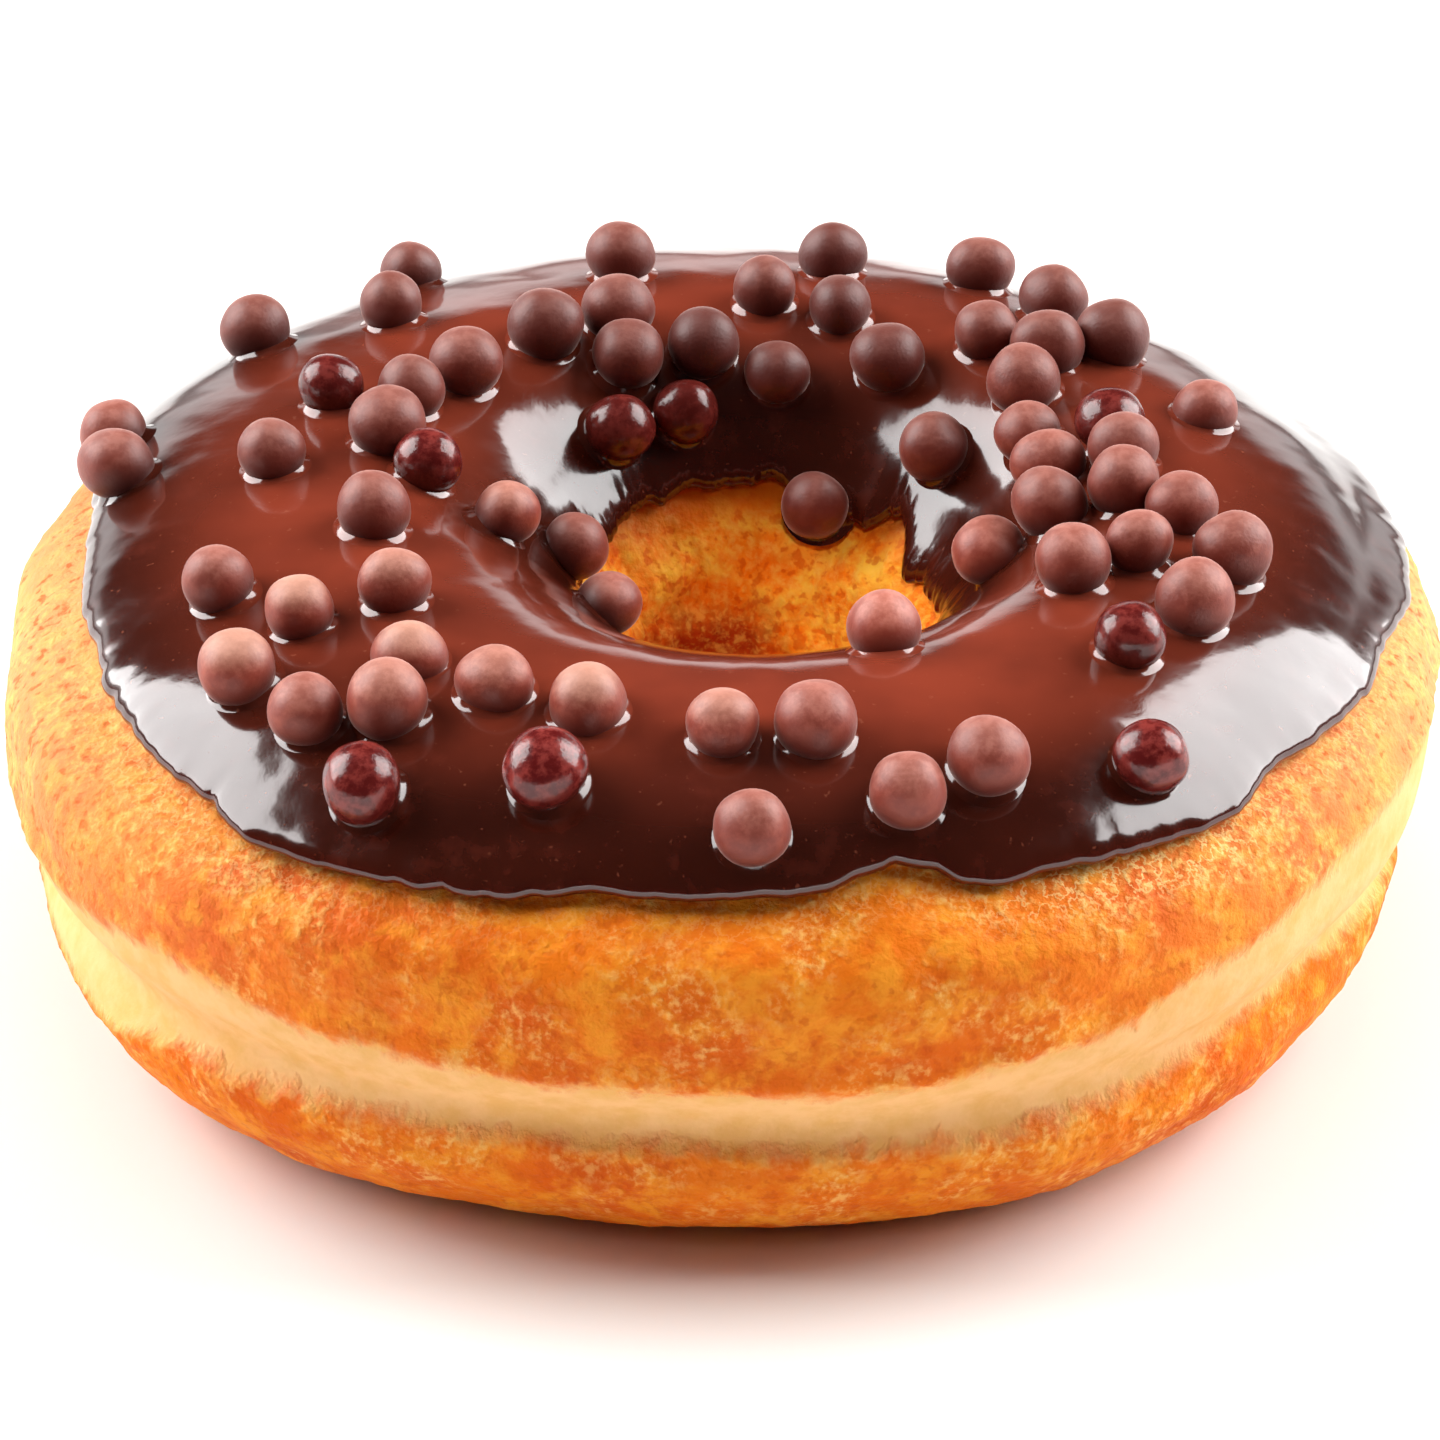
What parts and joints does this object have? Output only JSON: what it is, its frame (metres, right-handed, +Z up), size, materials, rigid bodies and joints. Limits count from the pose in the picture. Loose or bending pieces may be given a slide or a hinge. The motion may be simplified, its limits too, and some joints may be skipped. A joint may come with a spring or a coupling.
{
  "type": "chocolate crunch doughnut",
  "caption": "Ring doughnut with a browned crust and a pale waist, thick chocolate icing on top and crunch balls set in the icing.",
  "frame": {"origin": "on the axis of the ring's outline, at the level of its base", "axes": "+Z up out of the icing, +X to the right and -Y towards the front as pictured"},
  "size_m": [0.0918, 0.0902, 0.0365],
  "materials": {
    "dough": "fried crust, matt, golden brown with a pale waist",
    "icing": "set chocolate icing, glossy, with matt cocoa crunch balls"
  },
  "bodies": {
    "root": {"dough_ring": "dough", "chocolate_icing": "icing"}
  },
  "joints": []
}
